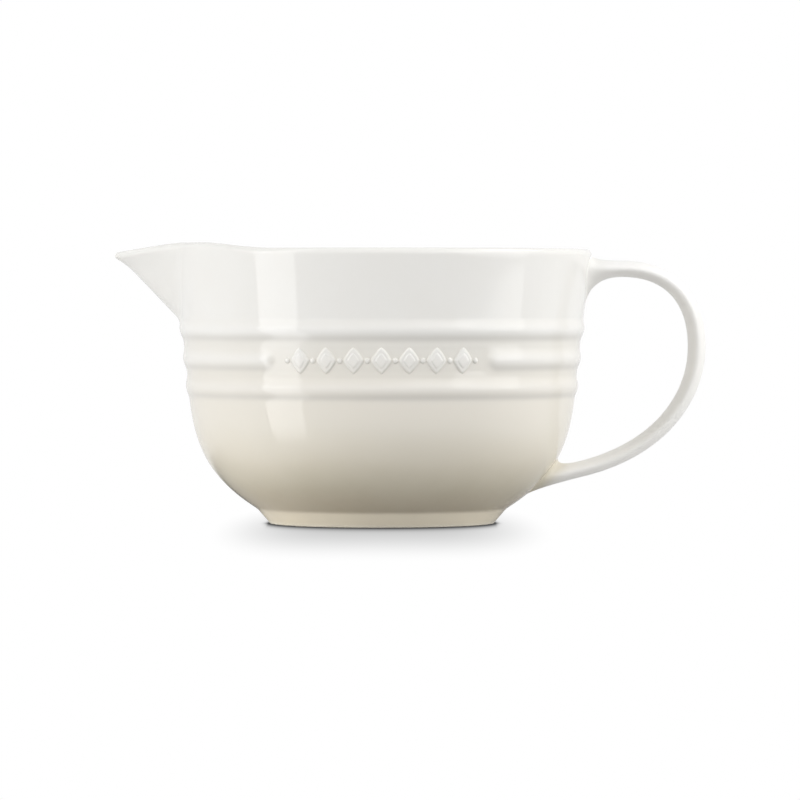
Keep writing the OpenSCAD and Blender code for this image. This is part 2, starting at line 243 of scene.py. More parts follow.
spoutForm = {
    "reach": 25.8 * mm,
    "width": 54 * mm,
    "baseWidth": 24 * mm,
    "baseAbove": 3.8 * mm,         # foot of the keel above the top ring
    "blend": 3 * mm,
    "keelRound": 9 * mm,
    "lip": 3.4 * mm,
    "drip": 2.1 * mm,
    "shoulderRise": 2.8 * mm,
    "tipDrop": 4.4 * mm,
    "dripStart": 0.8,
    "rootBlend": 0.4,
    "shoulderFlat": math.radians(30),
    "span": math.radians(60),
    "nudge": 0.02 * mm,            # steps up and round that give the face's slope
    "turn": math.radians(0.1),
}

spoutBase = topRing + spoutForm["baseAbove"]
spoutCut = spoutBase - spoutForm["blend"]
keelBlend = spoutForm["blend"] / (edgeHeight + spoutForm["shoulderRise"] - spoutBase)


def softPositive(value, soft):
    soft = np.broadcast_to(soft, np.shape(value))
    bump = (soft - np.abs(value)) ** 2 / np.where(soft > 0, 4 * soft, 1)
    return np.maximum(value, 0) + np.where((soft > 0) & (np.abs(value) < soft), bump, 0)


def across(y):
    return np.hypot(y, spoutForm["keelRound"]) - spoutForm["keelRound"]


def push(y, share):
    drip = np.maximum(0, (share - spoutForm["dripStart"]) / (1 - spoutForm["dripStart"])) ** 2
    out = ((spoutForm["reach"] - spoutForm["drip"]) * softPositive(share, keelBlend)
           + spoutForm["drip"] * drip)
    half = blend(spoutForm["baseWidth"], spoutForm["width"], clamped(share)) / 2
    return softPositive(out * (1 - across(y) / across(half)), spoutForm["rootBlend"] * out)


def sideways(radius, angle):
    return radius * np.sin(np.clip(angle, -math.pi / 2, math.pi / 2))


def lipHeight(angle):
    fade = clamped((np.abs(angle) - spoutForm["shoulderFlat"])
                   / (spoutForm["span"] - spoutForm["shoulderFlat"]))
    lipShare = push(sideways(bowlForm["rimRadius"], angle), np.ones_like(angle)) / spoutForm["reach"]
    return (edgeHeight + spoutForm["shoulderRise"] * (1 + np.cos(math.pi * fade)) / 2
            - spoutForm["tipDrop"] * lipShare)


def facePush(angle, height):
    share = (height - spoutBase) / (lipHeight(angle) - spoutBase)
    return push(sideways(wallRadius(height), angle), share)


def face(angle, height):
    radius = wallRadius(height)
    return np.stack([-radius * np.cos(angle) - facePush(angle, height),
                     radius * np.sin(angle), height], axis=-1)


def faceOut(angle, height):
    step, turn = spoutForm["nudge"], spoutForm["turn"]
    return unit(np.cross(face(angle, height + step) - face(angle, height - step),
                         face(angle + turn, height) - face(angle - turn, height)))


def faceWall(angle, height):
    share = clamped(facePush(angle, height) / spoutForm["reach"])
    return blend(bowlForm["wall"], spoutForm["lip"], share)


def raised(angle, height):
    # the height on the pushed wall that stands for a height on the plain one
    stretch = (lipHeight(angle) - spoutCut) / (edgeHeight - spoutCut)
    return np.where(height > spoutCut, spoutCut + (height - spoutCut) * stretch, height)


def outerWall(angle, height):
    level = raised(angle, height)
    base = face(angle, level)
    out = faceOut(angle, level)
    out[..., 2] = 0
    return base + relief(level, base[..., 0], base[..., 1])[..., None] * unit(out)


def innerWall(angle, height):
    level = raised(angle, height)
    return face(angle, level) - faceWall(angle, level)[..., None] * faceOut(angle, level)


def lipArc(angle, bend):
    level = lipHeight(angle)
    turn = spoutForm["turn"]
    run = face(angle + turn, lipHeight(angle + turn)) - face(angle - turn, lipHeight(angle - turn))
    out = faceOut(angle, level)
    up = unit(np.cross(run, out))
    radius = (faceWall(angle, level) / 2)[..., None]
    arc = (np.cos(bend) - 1)[..., None] * out + np.sin(bend)[..., None] * up
    return face(angle, level) + radius * arc


# the glazed skin: its outline is drawn once and spun, and then pushed into shape

footForm = {
    "tableRadius": 52.4 * mm,      # of the foot's side, where it comes nearest to the table
    "holeRadius": bowlForm["recessRadius"],
    "sideFrom": 1.2 * mm,
    "glazeLine": 0.12 * mm,        # the glaze ends this high above the table
    "glazeEdge": 0.3 * mm,         # how far it rolls under there
    "glazeThickness": 0.22 * mm,
    "fillet": 1.6 * mm,            # soft corner between foot and belly
    "toneEdge": mm,                # how far the foot's tone runs out above and below its upper edge
    "setBack": 1.4 * mm,           # the bare ring stands this far behind the glazed edge
    "ringRound": 0.5 * mm,
    "roundSteps": 6,
    "grip": 0.9 * mm,              # how far the bare ring reaches up inside the glaze
    "turnSteps": 240,
    "smoothUnder": math.radians(40),
}
skinForm = {
    "start": 155,                  # azimuth in degrees where the spin begins
    "sectors": [(50, 100), (24, 22), (12, 24), (58, 58), (12, 24), (204, 170)],   # degrees, turns
    "wrap": 1e-6,                  # keeps the first turn from being taken for the last
    "undersideShares": (0, 0.3, 0.6, 0.85),
    "filletSteps": 5,
    "edgeSteps": 4,
    "footHeights": (1.6 * mm, 2.6 * mm, 3.6 * mm, 4.6 * mm),
    "bellyStart": 0.045,           # where the belly's curve is free of the fillet
    "bellyRows": 26,
    "ringStep": 0.75 * mm,
    "sideRows": 18,
    "lipRows": 14,
    "innerSideRows": 34,
    "innerBellyRows": 16,
    "turnRows": 10,
    "floorShares": (0.8, 0.55, 0.3, 0),
}
weldGap = 0.005 * mm
fixedRow, outerRow, lipRow, innerRow = range(4)


def footSide(height):
    share = (height - footForm["sideFrom"]) / (bowlForm["footHeight"] - footForm["sideFrom"])
    return blend(footForm["tableRadius"], bowlForm["footRadius"], share)


def quadratic(a, b, c, steps):
    t = np.linspace(0, 1, steps + 1)[:, None]
    a, b, c = (np.array(p, float) for p in (a, b, c))
    return (1 - t) ** 2 * a + 2 * (1 - t) * t * b + t * t * c


def skinRows():
    # from the middle of the underside, round the outside and the lip, to the middle of the floor
    rows = []

    def fixed(points):
        rows.extend((r, z, fixedRow, 0.0) for r, z in points)

    line, step, edge = footForm["glazeLine"], footForm["glazeThickness"], footForm["glazeEdge"]
    hole, recess = footForm["holeRadius"], bowlForm["recessHeight"]
    soft = footForm["fillet"]
    softSteps, edgeSteps = skinForm["filletSteps"], skinForm["edgeSteps"]
    fixed([(hole * share, recess) for share in skinForm["undersideShares"]])
    fixed(quadratic((hole - soft, recess), (hole, recess), (hole, recess - soft), softSteps))
    fixed(quadratic((hole, line + edge), (hole, line), (hole + edge, line), edgeSteps))
    fixed([(hole + edge + step, line + step), (footSide(line) - edge - step, line + step)])
    fixed(quadratic((footSide(line) - edge, line), (footSide(line), line),
                    (footSide(line + edge), line + edge), edgeSteps))
    fixed([(footSide(z), z) for z in skinForm["footHeights"]])
    sideStart = np.array([footForm["tableRadius"], footForm["sideFrom"]])
    low = footCorner - soft * unit(footCorner - sideStart)
    fixed(quadratic(low, footCorner, footCorner + soft * riseDirection, softSteps))
    t = np.linspace(skinForm["bellyStart"], 1, skinForm["bellyRows"])
    fixed([p for p in curvePoints(bellyCurve, t) if p[1] < bandLow])
    for z in np.arange(bandLow, bandHigh, skinForm["ringStep"]):
        rows.append((float(wallRadius(z)), z, outerRow, z))
    for z in np.linspace(bandHigh, edgeHeight, skinForm["sideRows"]):
        rows.append((float(wallRadius(z)), z, outerRow, z))
    out = rightOf(curveDirections(sideCurve, 1.0))
    up = curveDirections(sideCurve, 1.0)
    for bend in np.linspace(0, math.pi, skinForm["lipRows"] + 2)[1:-1]:
        p = rimCorner + rimRound * ((math.cos(bend) - 1) * out + math.sin(bend) * up)
        rows.append((p[0], p[1], lipRow, bend))
    for z in np.linspace(edgeHeight, bowlForm["bellyHeight"], skinForm["innerSideRows"]):
        t = (z - bowlForm["bellyHeight"]) / sideSpan
        p = curvePoints(sideCurve, t) - bowlForm["wall"] * rightOf(curveDirections(sideCurve, t))
        rows.append((p[0], p[1], innerRow, z))
    t = np.linspace(1, bowlForm["innerStart"], skinForm["innerBellyRows"])
    inner = curvePoints(bellyCurve, t) - bowlForm["wall"] * rightOf(curveDirections(bellyCurve, t))
    fixed(inner[1:-1])
    end, direction = inner[-1], curveDirections(bellyCurve, bowlForm["innerStart"])
    corner = end - direction * (end[1] - bowlForm["floorHeight"]) / direction[1]
    start = (corner[0] - np.linalg.norm(end - corner), bowlForm["floorHeight"])
    fixed(quadratic(end, corner, start, skinForm["turnRows"]))
    fixed([(start[0] * share, bowlForm["floorHeight"]) for share in skinForm["floorShares"]])
    return rows


def drawOutline(name, points):
    places = [Vector((r, 0, z)) for r, z in points]
    deselectAll()
    bpy.ops.mesh.primitive_plane_add(size=mm)
    piece = bpy.context.object
    piece.name = piece.data.name = name
    bpy.ops.object.mode_set(mode="EDIT")
    bpy.ops.mesh.select_all(action="SELECT")
    bpy.ops.mesh.merge(type="CENTER")
    bpy.ops.transform.translate(value=places[0])
    for before, place in zip(places, places[1:]):
        bpy.ops.mesh.extrude_vertices_move(TRANSFORM_OT_translate={"value": place - before})
    mesh = bmesh.from_edit_mesh(piece.data)
    row = mesh.verts.layers.int.new("row")
    for index, vertex in enumerate(mesh.verts):
        vertex[row] = index
    bmesh.update_edit_mesh(piece.data)
    bpy.ops.object.mode_set(mode="OBJECT")
    return piece


def turnRound(piece, steps):
    lathe = piece.modifiers.new("lathe", "SCREW")
    lathe.angle = 2 * math.pi
    lathe.steps = lathe.render_steps = steps
    lathe.use_merge_vertices = True
    lathe.merge_threshold = weldGap
    pick(piece)
    bpy.ops.object.modifier_apply(modifier="lathe")
    bpy.ops.object.mode_set(mode="EDIT")
    turnOutwards()


def readPoints(piece):
    points = np.zeros(len(piece.data.vertices) * 3)
    piece.data.vertices.foreach_get("co", points)
    return points.reshape(-1, 3)


def writePoints(piece, points):
    piece.data.vertices.foreach_set("co", np.ascontiguousarray(points, dtype=float).ravel())
    piece.data.update()


def writeShare(piece, name, values):
    layer = piece.data.attributes.new(name, "FLOAT", "POINT")
    layer.data.foreach_set("value", np.ascontiguousarray(values, dtype=np.float32))


def crowdSectors(points):
    # the even turns of the lathe are drawn together where the spout and the ring's ends need them
    degrees, steps = (np.cumsum([0] + list(column)) for column in zip(*skinForm["sectors"]))
    turned = np.arctan2(points[:, 1], points[:, 0]) / (2 * math.pi)
    even = np.mod(turned + skinForm["wrap"], 1) * steps[-1]
    azimuth = np.radians(skinForm["start"] + np.interp(even, steps, degrees))
    radius = np.hypot(points[:, 0], points[:, 1])
    return np.stack([radius * np.cos(azimuth), radius * np.sin(azimuth), points[:, 2]], axis=1)


def makeBowl():
    rows = skinRows()
    piece = drawOutline("glazedBowl", [(r, z) for r, z, kind, value in rows])
    turnRound(piece, sum(steps for degrees, steps in skinForm["sectors"]))
    index = np.zeros(len(piece.data.vertices), dtype=np.int32)
    piece.data.attributes["row"].data.foreach_get("value", index)
    kind = np.array([row[2] for row in rows])[index]
    value = np.array([row[3] for row in rows])[index]
    points = crowdSectors(readPoints(piece))
    angle = np.arctan2(points[:, 1], -points[:, 0])
    for which, shape in ((outerRow, outerWall), (lipRow, lipArc), (innerRow, innerWall)):
        chosen = kind == which
        points[chosen] = shape(angle[chosen], value[chosen])
    writePoints(piece, points)
    lip = kind == lipRow
    outside = np.where(index < [row[2] for row in rows].index(innerRow), 1.0, 0.0)
    outside[lip] = eased(1 - value[lip] / math.pi)
    outer = kind == outerRow
    waves, creaseShades = np.zeros(len(points)), np.zeros(len(points))
    places = (raised(angle[outer], value[outer]), points[outer, 0], points[outer, 1])
    waves[outer] = ringWaves(*places)
    creaseShades[outer] = ringCreaseShade(*places)
    heights = points[:, 2]
    inBand = clamped((heights - bandLow) / ringHalf) * clamped((bandHigh - heights) / ringHalf)
    footTop, soft = bowlForm["footHeight"], footForm["toneEdge"]
    writeShare(piece, "outside", outside)
    # painted shade in the grooves between the rings
    writeShare(piece, "hollowShading", np.where(outer, inBand * (1 - waves), 0))
    # thin glaze and a painted highlight along the ring crests
    writeShare(piece, "thinAndLit", np.where(outer, waves ** ringForm["crestPower"], 0))
    # painted shade under each ring
    writeShare(piece, "creaseShade", creaseShades)
    writeShare(piece, "onFoot", outside * rising(heights, footTop + soft, footTop - soft))
    piece.data.attributes.remove(piece.data.attributes["row"])
    pick(piece)
    bpy.ops.object.shade_smooth()
    return piece


glazedBowl = makeBowl()
print("glazed skin:", len(glazedBowl.data.polygons), "faces")


# the bare ring that the bowl stands on

def makeFoot():
    soft, steps = footForm["ringRound"], footForm["roundSteps"]
    outer = footForm["tableRadius"] - footForm["setBack"]
    hole = footForm["holeRadius"] + footForm["setBack"]
    top = footForm["glazeLine"] + footForm["grip"]
    points = [(hole, top)]
    points += [tuple(p) for p in quadratic((hole, soft), (hole, 0), (hole + soft, 0), steps)]
    points += [(blend(hole + soft, outer - soft, share), 0) for share in (0.25, 0.5, 0.75)]
    points += [tuple(p) for p in quadratic((outer - soft, 0), (outer, 0), (outer, soft), steps)]
    points += [(blend(outer, hole, share), top) for share in (0, 0.5, 1)]
    piece = drawOutline("bareFoot", points)
    turnRound(piece, footForm["turnSteps"])
    piece.data.attributes.remove(piece.data.attributes["row"])
    pick(piece)
    bpy.ops.object.shade_smooth_by_angle(angle=footForm["smoothUnder"])
    return piece


bareFoot = makeFoot()
print("bare foot:", len(bareFoot.data.polygons), "faces")


# the loop handle: one oval strap that spreads into the wall at both ends

strapForm = {
    "drop": 5.2 * mm,
    "topThickness": 7.5 * mm,
    "sideThickness": 8.1 * mm,
    "lowThickness": 7.2 * mm,
    "topWidth": 26 * mm,
    "lowWidth": 23 * mm,
    "widestHeight": 81.5 * mm,
    "lowHeight": 25.2 * mm,
    "lowRise": math.radians(14),
    "upperStub": 15 * mm,
    "lowerStub": 14.4 * mm,
    "pulls": (0.68, 0.58, 0.443, 0.67),
    "upperFlare": (3.1 * mm, 15 * mm),    # above and below the strap
    "lowerFlare": (4.5 * mm, 8 * mm),     # below and above it
    "sideFlare": 5 * mm,
    "sides": 52,
    "upperStations": 40,
    "lowerStations": 64,
    "flareRows": 22,
    "sink": 0.15 * mm,             # how deep the fillets' feet lie in the wall
    "bite": 1.5 * mm,              # how far the closed ends reach into the wall
    "biteShare": 0.9,              # and their size against the feet
    "farthest": 50 * mm,           # the wall is nearer than this to the strap's ends
    "halvings": 30,
    "slopeStep": 0.1 * mm,
    "wallTone": 12 * mm,           # the wall's tone, with its painted shade, runs out on to the joints this far
    "palenessAndLight": 6.0,               # of the thin glaze and painted light at both ends of the strap
    "paleLow": (60 * mm, 20 * mm),     # heights at which it starts and is full
    "paleHigh": (95 * mm, 115 * mm),
    "paleNear": (130 * mm, 92 * mm),   # the same from the bowl's axis, for the low end
}

strapTop = bowlForm["rimHeight"] - strapForm["drop"] - strapForm["topThickness"] / 2
upperEnd = np.array([wallRadius(strapTop) + strapForm["upperStub"], strapTop])
widest = np.array([strapHigh.x - strapForm["sideThickness"] / 2, strapForm["widestHeight"]])
lowerReach = wallRadius(strapForm["lowHeight"]) + strapForm["lowerStub"]
lowerEnd = np.array([lowerReach, strapForm["lowHeight"]])
lowerWay = np.array([-math.cos(strapForm["lowRise"]), -math.sin(strapForm["lowRise"])])
upperStrap = [
    upperEnd,
    upperEnd + [(widest[0] - upperEnd[0]) * strapForm["pulls"][0], 0],
    widest + [0, (upperEnd[1] - widest[1]) * strapForm["pulls"][1]],
    widest,
]
lowerStrap = [
    widest,
    widest - [0, (widest[1] - lowerEnd[1]) * strapForm["pulls"][2]],
    lowerEnd - lowerWay * (widest[0] - lowerEnd[0]) * strapForm["pulls"][3],
    lowerEnd,
]
around = np.linspace(0, 2 * math.pi, strapForm["sides"], endpoint=False)


def strapLoop(place, way, thickness, width):
    side = thickness / 2 * np.sin(around)
    return np.stack([place[0] - side * way[1], width / 2 * np.cos(around),
                     place[1] + side * way[0]], axis=1)


def onWall(azimuth, height, lift):
    radius = wallRadius(height) + lift
    return np.stack([radius * np.cos(azimuth), radius * np.sin(azimuth), height], axis=-1)


def meetWall(loop, way):
    near, far = np.zeros(len(loop)), np.full(len(loop), strapForm["farthest"])
    for halving in range(strapForm["halvings"]):
        middle = (near + far) / 2
        points = loop + middle[:, None] * way
        clear = np.hypot(points[:, 0], points[:, 1]) > wallRadius(points[:, 2])
        near, far = np.where(clear, middle, near), np.where(clear, far, middle)
    return loop + near[:, None] * way


def flareLoops(loop, way, sign, flare):
    hit = meetWall(loop, way)
    small = strapForm["slopeStep"]
    lean = (wallRadius(hit[:, 2] + small) - wallRadius(hit[:, 2] - small)) / (2 * small)
    spread = blend(flare[1], flare[0], (1 + np.sin(around)) / 2)
    rise = sign * spread * np.sin(around) / np.sqrt(1 + lean * lean)
    sweep = strapForm["sideFlare"] * np.cos(around) / wallRadius(hit[:, 2])
    azimuth = np.arctan2(hit[:, 1], hit[:, 0]) + sweep
    foot = onWall(azimuth, hit[:, 2] + rise, -strapForm["sink"])
    loops = []
    for t in np.linspace(0, 1, strapForm["flareRows"] + 1)[1:]:
        loops.append((1 - t) ** 2 * loop + 2 * (1 - t) * t * hit + t * t * foot)
    heights = blend(foot[:, 2].mean(), foot[:, 2], strapForm["biteShare"])
    azimuth = np.arctan2(foot[:, 1], foot[:, 0]) * strapForm["biteShare"]
    loops.append(onWall(azimuth, heights, -strapForm["bite"]))
    return loops


def sweepLoops(name, loops):
    deselectAll()
    bpy.ops.mesh.primitive_circle_add(vertices=len(loops[0]), radius=mm, fill_type="NGON")
    piece = bpy.context.object
    piece.name = piece.data.name = name
    bpy.ops.object.mode_set(mode="EDIT")
    bpy.ops.mesh.select_all(action="SELECT")
    mesh = bmesh.from_edit_mesh(piece.data)
    corner = mesh.verts.layers.int.new("corner")
    for index, vertex in enumerate(mesh.verts):
        vertex[corner] = index
        vertex.co = loops[0][index]
    bmesh.update_edit_mesh(piece.data)
    for loop in loops[1:]:
        bpy.ops.mesh.extrude_region_move()
        mesh = bmesh.from_edit_mesh(piece.data)
        corner = mesh.verts.layers.int["corner"]
        for vertex in mesh.verts:
            if vertex.select:
                vertex.co = loop[vertex[corner]]
        bmesh.update_edit_mesh(piece.data)
    closeEnd()
    piece.data.attributes.remove(piece.data.attributes["corner"])
    return piece


def makeHandle():
    thick = [strapForm[key] for key in ("topThickness", "sideThickness", "lowThickness")]
    sideWidth = (strapForm["topWidth"] + strapForm["lowWidth"]) / 2
    wide = [strapForm["topWidth"], sideWidth, strapForm["lowWidth"]]
    loops = []
    for half, (curve, stations) in enumerate(((upperStrap, strapForm["upperStations"]),
                                              (lowerStrap, strapForm["lowerStations"]))):
        for t in np.linspace(0, 1, stations + 1)[half:]:
            loops.append(strapLoop(curvePoints(curve, t), curveDirections(curve, t),
                                   blend(thick[half], thick[half + 1], t),
                                   blend(wide[half], wide[half + 1], t)))
    upper = flareLoops(loops[0], np.array([-1.0, 0, 0]), 1, strapForm["upperFlare"])
    lower = flareLoops(loops[-1], np.array([lowerWay[0], 0, lowerWay[1]]), -1, strapForm["lowerFlare"])
    piece = sweepLoops("strapHandle", upper[::-1] + loops + lower)
    points = readPoints(piece)
    low = rising(points[:, 2], *strapForm["paleLow"]) * rising(points[:, 0], *strapForm["paleNear"])
    high = rising(points[:, 2], *strapForm["paleHigh"])
    lift = np.hypot(points[:, 0], points[:, 1]) - wallRadius(points[:, 2])
    onTheWall = eased(1 - lift / strapForm["wallTone"])
    writeShare(piece, "outside", onTheWall)
    writeShare(piece, "hollowShading", np.zeros(len(points)))
    # thin glaze and painted light, paler at both ends of the strap
    writeShare(piece, "thinAndLit", strapForm["palenessAndLight"] * (low + high) * (1 - onTheWall))
    pick(piece)
    bpy.ops.object.shade_smooth()
    return piece


strapHandle = makeHandle()
print("strap handle:", len(strapHandle.data.polygons), "faces")


# the ornament: one stepped lozenge and one bead are modelled, copied and bent round the panel

sprigForm = {
    "lozengeWidth": 9.2 * mm,
    "lozengeHeight": 12.2 * mm,
    "gap": 3.2 * mm,
    "count": 7,
    "beadRadius": 1.3 * mm,
    "corners": 56,
    "softness": 1.22,              # of the lozenge: 1 is sharp, 2 an oval
    "beadSoftness": 2,
    "hollowShadeLift": 0.5 * mm,          # painted shade darkens the glaze round a sprig up to here
    "thinLift": 1.1 * mm,          # and is thinnest here
    "lozengeSteps": [              # share of the outline, height in mm
        (1.05, -0.3), (1.03, 0.0), (0.99, 0.07), (0.955, 0.2), (0.92, 0.38), (0.88, 0.54), (0.83, 0.65),
        (0.77, 0.7), (0.69, 0.705), (0.62, 0.7), (0.575, 0.73), (0.545, 0.81), (0.515, 0.93),
        (0.475, 1.02), (0.42, 1.07), (0.33, 1.09), (0.2, 1.1), (0.08, 1.1)],
    "beadSteps": [
        (1.12, -0.3), (1.06, 0.0), (0.98, 0.08), (0.9, 0.22), (0.8, 0.38), (0.67, 0.52), (0.5, 0.62),
        (0.3, 0.68), (0.12, 0.7)],
}


def panelRadius(height):
    return wallRadius(height) - ringForm["sunk"] - ringForm["panelSunk"]


def modelSprig(name, halfWidth, halfHeight, softness, steps):
    deselectAll()
    bpy.ops.mesh.primitive_circle_add(vertices=sprigForm["corners"], radius=1, fill_type="NGON")
    piece = bpy.context.object
    piece.name = piece.data.name = name
    turn = np.linspace(0, 2 * math.pi, sprigForm["corners"], endpoint=False)
    size = (np.abs(np.cos(turn)) ** softness + np.abs(np.sin(turn)) ** softness) ** (-1 / softness)
    outline = np.stack([np.cos(turn) * size * halfWidth, np.sin(turn) * size * halfHeight,
                        np.zeros(len(turn))], axis=1)
    share, height = steps[0]
    writePoints(piece, outline * share + [0, 0, height * mm])
    bpy.ops.object.mode_set(mode="EDIT")
    bpy.ops.mesh.select_all(action="SELECT")
    for (before, low), (after, high) in zip(steps, steps[1:]):
        bpy.ops.mesh.extrude_region_move(TRANSFORM_OT_translate={"value": (0, 0, (high - low) * mm)})
        bpy.ops.transform.resize(value=(after / before, after / before, 1))
    closeEnd()
    return piece


def copyRound(pattern, places, pitch):
    copies = []
    for place in places:
        pick(pattern)
        bpy.ops.object.duplicate(linked=False)
        copy = bpy.context.object
        points = readPoints(copy)
        height = middleRing + points[:, 1]
        radius = panelRadius(height) + points[:, 2]
        azimuth = (points[:, 0] + place * pitch) / panelRadius(middleRing) - math.pi / 2
        bent = np.stack([radius * np.cos(azimuth), radius * np.sin(azimuth), height], axis=1)
        writePoints(copy, bent)
        copies.append(copy)
    bpy.data.objects.remove(pattern)
    return copies


def makeBand():
    width, height, radius = (sprigForm[key] for key in ("lozengeWidth", "lozengeHeight", "beadRadius"))
    pitch = width + sprigForm["gap"]
    count = sprigForm["count"]
    lozenge = modelSprig("lozengePattern", width / 2, height / 2,
                         sprigForm["softness"], sprigForm["lozengeSteps"])
    bead = modelSprig("beadPattern", radius, radius,
                      sprigForm["beadSoftness"], sprigForm["beadSteps"])
    copies = copyRound(lozenge, [i - (count - 1) / 2 for i in range(count)], pitch)
    copies += copyRound(bead, [i - count / 2 for i in range(count + 1)], pitch)
    deselectAll()
    for copy in copies:
        copy.select_set(True)
    bpy.context.view_layer.objects.active = copies[0]
    bpy.ops.object.join()
    piece = bpy.context.object
    piece.name = piece.data.name = "lozengeBand"
    points = readPoints(piece)
    lift = np.hypot(points[:, 0], points[:, 1]) - panelRadius(points[:, 2])
    writeShare(piece, "outside", np.ones(len(points)))
    hollowShade, paleTone = sprigForm["hollowShadeLift"], sprigForm["thinLift"]
    writeShare(piece, "hollowShading", clamped(1 - lift / hollowShade))
    writeShare(piece, "thinAndLit", clamped((lift - hollowShade) / (paleTone - hollowShade)))
    pick(piece)
    bpy.ops.object.shade_smooth()
    return piece


lozengeBand = makeBand()
print("ornament:", len(lozengeBand.data.polygons), "faces")


# materials; a noise is given by its scale per metre, its detail and its roughness

glazeFinish = {
    "white": (0.86, 0.85, 0.82),
    "cloud": (0.80, 0.76, 0.68),
    "cloudShare": 0.10,
    "cloudNoise": (45, 4, 0.6),
    "cloudRange": (0.35, 0.7),
    "foot": (0.87, 0.80, 0.66),
    "footEdge": (0.95, 0.90, 0.78),
    "footEdgeHeight": 2.2 * mm,    # the glaze is thin and pale below this, and painted lighter as a highlight along the foot's lower edge
    # painted shade, darker in the grooves between the rings and round the sprigs' feet
    "hollowShade": (0.74, 0.70, 0.61),
    "hollowShadeShare": 0.35,
    # paler tone: thin glaze, with a painted highlight on the ring crests and painted light at both ends
    # of the strap
    "paleTone": (0.95, 0.94, 0.92),
    "thinAndLitShare": 0.14,
    # painted shade for the dark line under each ring
    "creaseShade": (0.62, 0.60, 0.56),
    "creaseShadeShare": 0.45,
    "fade": [                      # the glaze runs from warm at the foot to white; the darkening towards the foot is partly its real warm tone and partly painted shade under the belly
        (8 * mm, (0.52, 0.46, 0.355)),
        (19 * mm, (0.61, 0.56, 0.445)),
        (31 * mm, (0.75, 0.70, 0.59)),
        (45 * mm, (0.81, 0.77, 0.68)),
        (60 * mm, (0.82, 0.785, 0.715)),
        (84 * mm, (0.86, 0.85, 0.82)),
    ],
    "drift": 5 * mm,               # how far the warmth and painted shade wander
    "driftNoise": (14, 3, 0.5),
    "noiseRange": (0.3, 0.7),      # nearly all of a noise lies in it
    "gloss": (0.04, 0.07),         # roughness at its lowest and highest
    "strapGloss": (0.40, 0.45),    # of the handle, which is less glossy
    "glossNoise": (70, 3, 0.5),
    "mirrorIndex": 1.5,
    "peel": 0.02 * mm,             # unevenness of the glaze
    "peelNoise": (60, 2, 0.45),
    "fineShare": 1 / 12,           # of the peel's depth
    "fineNoise": (420, 2, 0.5),
}
clayFinish = {
    "pale": (0.66, 0.58, 0.46),
    "dark": (0.46, 0.38, 0.28),
    "blotchNoise": (60, 3, 0.6),
    "blotchRange": (0.35, 0.65),
    "speck": (0.30, 0.24, 0.17),
    "speckRange": (0.58, 0.72),
    "grain": 0.06 * mm,
    "grainNoise": (900, 6, 0.7),
    "grainRange": (0.2, 0.8),
    "rough": (0.78, 0.95),
}


class Board:   # a material's node tree, with one short call for each node and link

    def __init__(self, name):
        self.material = bpy.data.materials.new(name)
        self.material.use_nodes = True
        self.tree = self.material.node_tree
        self.shader = self.tree.nodes["Principled BSDF"]
        self.objectSpace = self.node("ShaderNodeTexCoord").outputs["Object"]

    def node(self, kind, **settings):
        made = self.tree.nodes.new(kind)
        for key, value in settings.items():
            setattr(made, key, value)
        return made

    def link(self, source, target):
        if isinstance(source, (int, float, tuple)):
            target.default_value = source
        else:
            self.tree.links.new(source, target)

    def noise(self, scale, detail, roughness):
        made = self.node("ShaderNodeTexNoise")
        self.link(self.objectSpace, made.inputs["Vector"])
        made.inputs["Scale"].default_value = scale
        made.inputs["Detail"].default_value = detail
        made.inputs["Roughness"].default_value = roughness
        return made.outputs["Fac"]

    def math(self, operation, a, b):
        made = self.node("ShaderNodeMath", operation=operation)
        self.link(a, made.inputs[0])
        self.link(b, made.inputs[1])
        return made.outputs["Value"]

    def remap(self, value, low, high, toLow=0.0, toHigh=1.0, smooth=False):
        steps = "SMOOTHSTEP" if smooth else "LINEAR"
        made = self.node("ShaderNodeMapRange", interpolation_type=steps)
        self.link(value, made.inputs["Value"])
        made.inputs["From Min"].default_value = low
        made.inputs["From Max"].default_value = high
        made.inputs["To Min"].default_value = toLow
        made.inputs["To Max"].default_value = toHigh
        return made.outputs["Result"]

    def mix(self, share, a, b):
        made = self.node("ShaderNodeMix", data_type="RGBA")
        self.link(share, made.inputs["Factor"])
        for value, socket in ((a, made.inputs["A"]), (b, made.inputs["B"])):
            self.link(value + (1.0,) if isinstance(value, tuple) else value, socket)
        return made.outputs["Result"]

    def ramp(self, value, stops):
        low, high = stops[0][0], stops[-1][0]
        made = self.node("ShaderNodeValToRGB")
        self.link(self.remap(value, low, high), made.inputs["Fac"])
        made.color_ramp.interpolation = "CARDINAL"
        marks = made.color_ramp.elements
        for stop in stops[1:-1]:
            marks.new((stop[0] - low) / (high - low))
        for mark, (height, colour) in zip(marks, stops):
            mark.color = colour + (1.0,)
        return made.outputs["Color"]

    def share(self, name):
        return self.node("ShaderNodeAttribute", attribute_name=name).outputs["Fac"]

    def bump(self, height, distance, under=None):
        made = self.node("ShaderNodeBump")
        self.link(height, made.inputs["Height"])
        made.inputs["Distance"].default_value = distance
        if under is not None:
            self.link(under, made.inputs["Normal"])
        return made.outputs["Normal"]

    def layer(self, share, under, over):
        made = self.node("ShaderNodeMixShader")
        self.link(share, made.inputs[0])
        self.link(under, made.inputs[1])
        self.link(over, made.inputs[2])
        return made.outputs["Shader"]

    def finish(self, shader):
        self.tree.nodes.remove(self.shader)
        self.link(shader, self.tree.nodes["Material Output"].inputs["Surface"])


